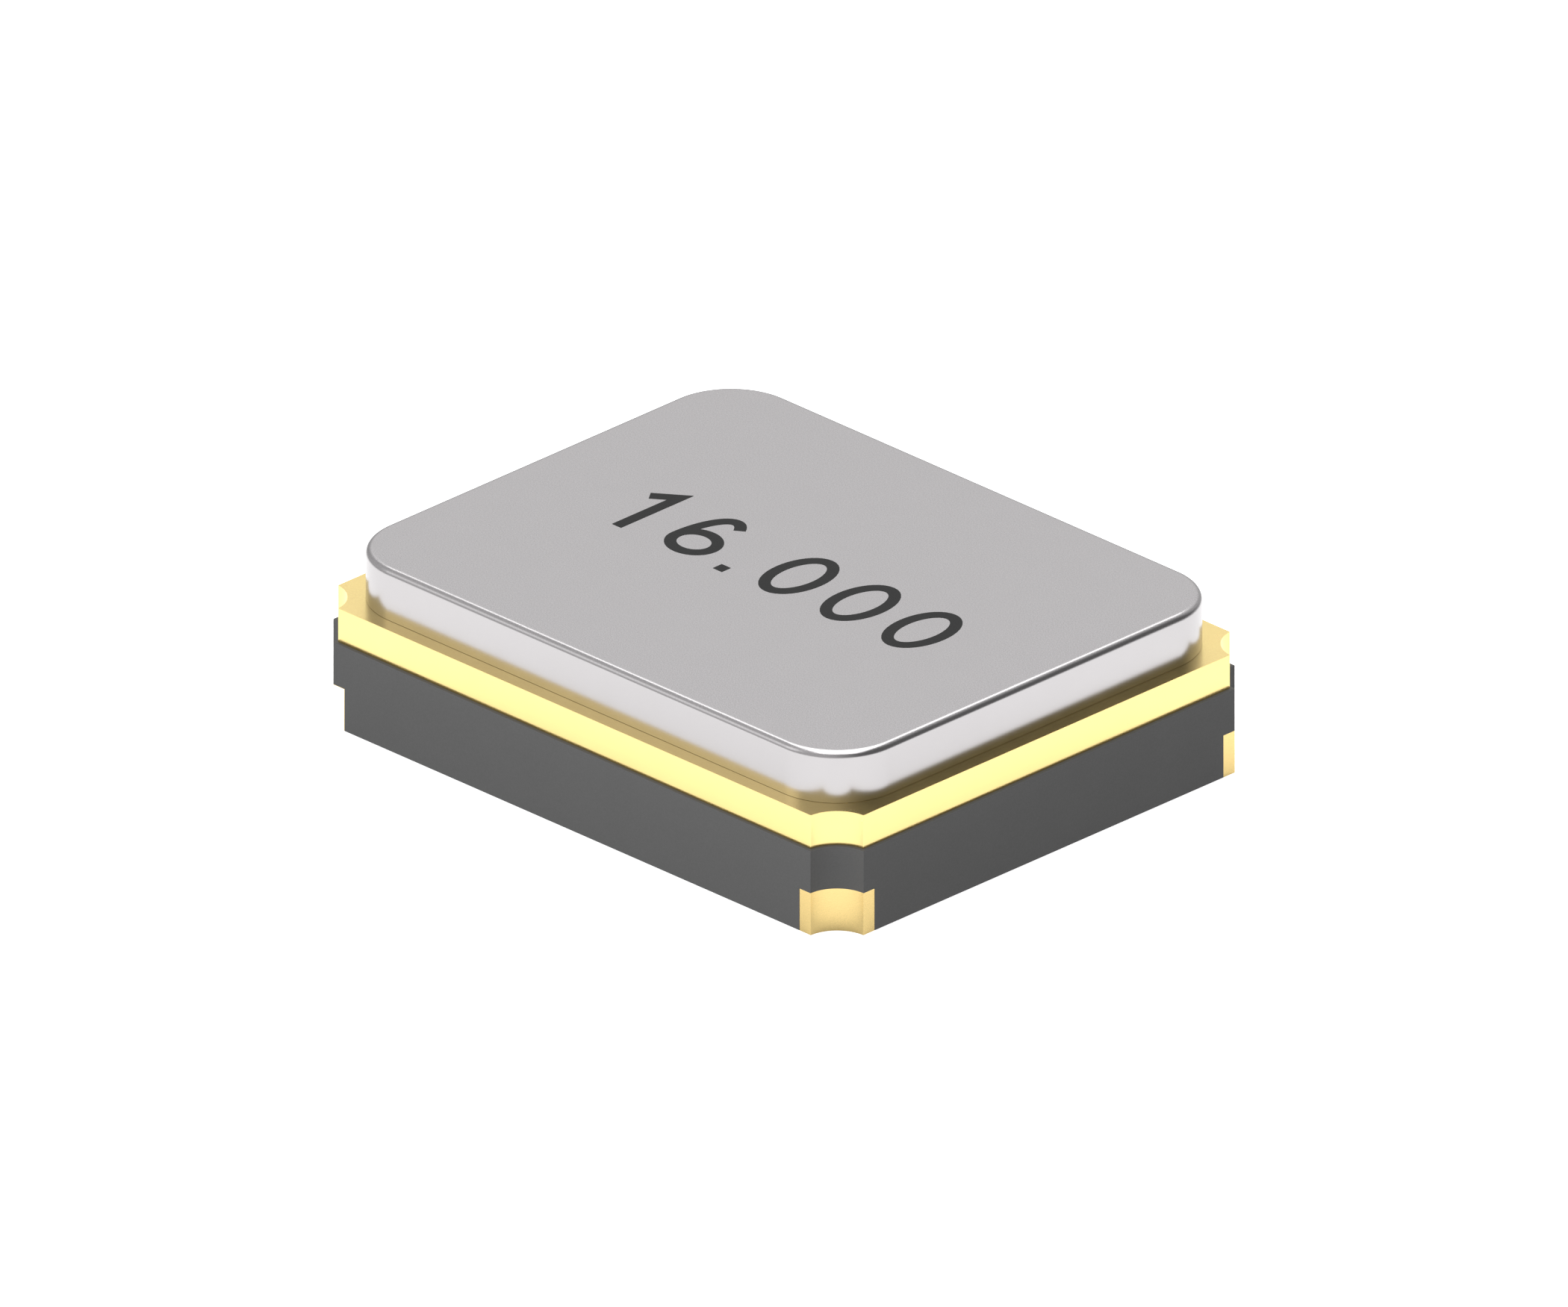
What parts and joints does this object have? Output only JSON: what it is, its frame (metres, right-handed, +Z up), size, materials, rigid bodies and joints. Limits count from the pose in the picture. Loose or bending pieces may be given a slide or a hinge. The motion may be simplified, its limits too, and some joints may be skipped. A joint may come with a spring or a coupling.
{
  "type": "quartz crystal",
  "caption": "Flat rectangular surface-mount quartz crystal unit: dark ceramic body with corner castellations, gold seal ring and metal lid over a sealed resonator plate.",
  "frame": {"origin": "middle of the solder face, under the middle of the body", "axes": "+X along the package, from terminal 1 to terminal 2; +Y across it, from terminal 2 to terminal 3; +Z up through the lid"},
  "size_m": [0.0024, 0.002, 0.0006],
  "materials": {
    "dark_alumina": "fired dark alumina ceramic, matt, fine grained",
    "gold_plating": "gold over nickel on fired tungsten, satin, fine grained",
    "gold_plated_ring": "gold over nickel on iron-nickel-cobalt alloy, satin",
    "nickel_plating": "nickel plating, satin, fine even grain",
    "quartz": "lapped and etched quartz, clear",
    "electrode_film": "evaporated silver film",
    "silver_adhesive": "cured silver-filled adhesive, matt",
    "fired_tungsten": "co-fired tungsten, matt grey",
    "silver_braze": "silver-copper braze, bright"
  },
  "bodies": {
    "root": {"ceramic_base": "dark_alumina", "terminal_1": "gold_plating", "terminal_2": "gold_plating", "terminal_3": "gold_plating", "terminal_4": "gold_plating", "feed_conductor_1": "fired_tungsten", "feed_conductor_3": "fired_tungsten", "ground_conductor_2": "fired_tungsten", "ground_conductor_4": "fired_tungsten", "seal_metallization": "fired_tungsten", "ring_braze": "silver_braze", "seal_ring": "gold_plated_ring", "lid": "nickel_plating", "quartz_blank": "quartz", "upper_electrode": "electrode_film", "lower_electrode": "electrode_film", "mount_pad_a": "gold_plating", "mount_pad_b": "gold_plating", "adhesive_dot_a": "silver_adhesive", "adhesive_dot_b": "silver_adhesive"}
  },
  "joints": []
}
